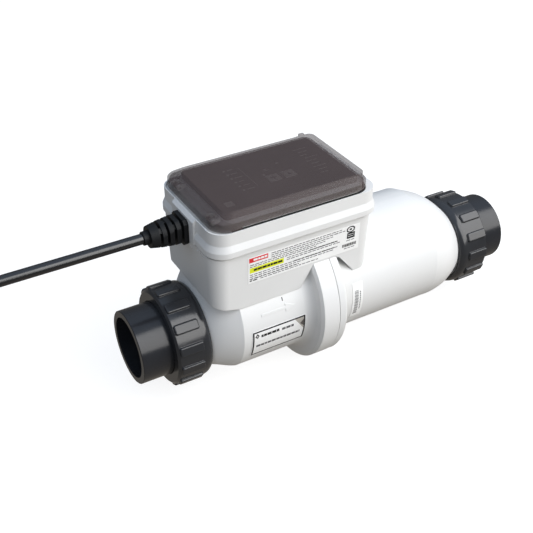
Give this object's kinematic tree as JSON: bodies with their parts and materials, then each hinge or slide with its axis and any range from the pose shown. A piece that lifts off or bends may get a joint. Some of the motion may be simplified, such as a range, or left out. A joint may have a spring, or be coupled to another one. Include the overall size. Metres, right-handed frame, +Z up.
{
  "type": "salt chlorine generator",
  "caption": "Inline pool salt cell: flanged white body with union sockets, electrode stack inside, electronics box on top with a hinged smoked cover and a tied power cord.",
  "frame": {"origin": "centre of the inlet socket's mouth, on the pipe axis", "axes": "+X along the pipe with the water flow, towards the outlet socket; +Z up, towards the electronics box; +Y to the back"},
  "size_m": [0.8897, 0.1908, 0.2137],
  "materials": {
    "white_housing": "satin white moulded housing, fine texture",
    "black_pvc": "glossy black moulded pipe fitting",
    "smoked_clear": "polished smoked clear plastic",
    "panel_black": "fine-textured dark panel",
    "button_grey": "satin keycap",
    "lens_clear": "clear light pipe",
    "seal_rubber": "matte black seal",
    "relief_rubber": "matte moulded rubber",
    "cord_jacket": "smooth glossy jacket",
    "label_film": "printed film",
    "titanium": "coated titanium",
    "stainless": "plain stainless",
    "board_green": "solder-masked board",
    "component_dark": "moulded component",
    "component_sleeve": "sleeved can",
    "inner_plastic": "natural grey moulding",
    "brass_pin": "plated contact"
  },
  "bodies": {
    "cell": {"inlet_tailpiece": "black_pvc", "outlet_tailpiece": "black_pvc", "inlet_o_ring": "seal_rubber", "outlet_o_ring": "seal_rubber", "inlet_housing": "white_housing", "outlet_housing": "white_housing", "flange_gasket": "seal_rubber", "lower_enclosure": "white_housing", "enclosure_gasket": "seal_rubber", "upper_enclosure": "white_housing", "enclosure_screws": "stainless", "saddle_screws": "stainless", "cover_hinge_pins": "stainless", "cover_gasket": "seal_rubber", "control_panel": "panel_black", "indicator_lenses": "lens_clear", "display_board": "board_green", "tact_switches": "component_dark", "indicator_leds": "lens_clear", "driver_board": "board_green", "board_screws": "stainless", "relays": "component_dark", "capacitors": "component_sleeve", "terminal_block": "component_dark", "anode_plates": "titanium", "cathode_plates": "titanium", "anode_terminal": "titanium", "cathode_terminal": "titanium", "terminal_seals": "seal_rubber", "terminal_nuts": "stainless", "plate_combs": "inner_plastic", "flow_switch_body": "inner_plastic", "flow_switch_ring": "inner_plastic", "paddle_pin": "titanium", "temperature_probe": "titanium", "strain_relief": "relief_rubber", "strain_relief_nut": "component_dark", "power_cord": "cord_jacket", "cord_coil": "cord_jacket", "cord_lead_out": "cord_jacket", "coil_ties": "relief_rubber", "plug_shell": "relief_rubber", "plug_pins": "brass_pin", "front_label": "label_film", "name_plate": "label_film", "serial_label": "label_film"},
    "cover": {"smoked_cover": "smoked_clear"},
    "left_button": {"left_button": "button_grey"},
    "right_button": {"right_button": "button_grey"},
    "inlet_nut": {"inlet_union_nut": "black_pvc"},
    "outlet_nut": {"outlet_union_nut": "black_pvc"},
    "paddle": {"flow_paddle": "inner_plastic", "paddle_magnet": "stainless"},
    "plug_ring": {"plug_collar": "black_pvc"}
  },
  "joints": [
    {"name": "cover_hinge", "type": "hinge", "parent": "cell", "child": "cover", "pos_m": [0.0752, 0, 0.1382], "axis": [0, -1, 0], "range_deg": [0, 110]},
    {"name": "left_button_press", "type": "slide", "parent": "cell", "child": "left_button", "axis": [0, 0, -1], "range_m": [0, 0.0008], "stiffness_N_per_m": 400},
    {"name": "right_button_press", "type": "slide", "parent": "cell", "child": "right_button", "axis": [0, 0, -1], "range_m": [0, 0.0008], "stiffness_N_per_m": 400},
    {"name": "inlet_nut_turn", "type": "hinge", "parent": "cell", "child": "inlet_nut", "pos_m": [0.048, 0, 0], "axis": [1, 0, 0], "continuous": true},
    {"name": "outlet_nut_turn", "type": "hinge", "parent": "cell", "child": "outlet_nut", "pos_m": [0.385, 0, 0], "axis": [1, 0, 0], "continuous": true},
    {"name": "flow_paddle_swing", "type": "hinge", "parent": "cell", "child": "paddle", "pos_m": [0.13, 0, 0.026], "axis": [0, -1, 0], "range_deg": [0, 25]},
    {"name": "plug_ring_turn", "type": "hinge", "parent": "cell", "child": "plug_ring", "pos_m": [-0.17, 0.08, -0.0508], "axis": [1, 0, 0], "continuous": true}
  ]
}
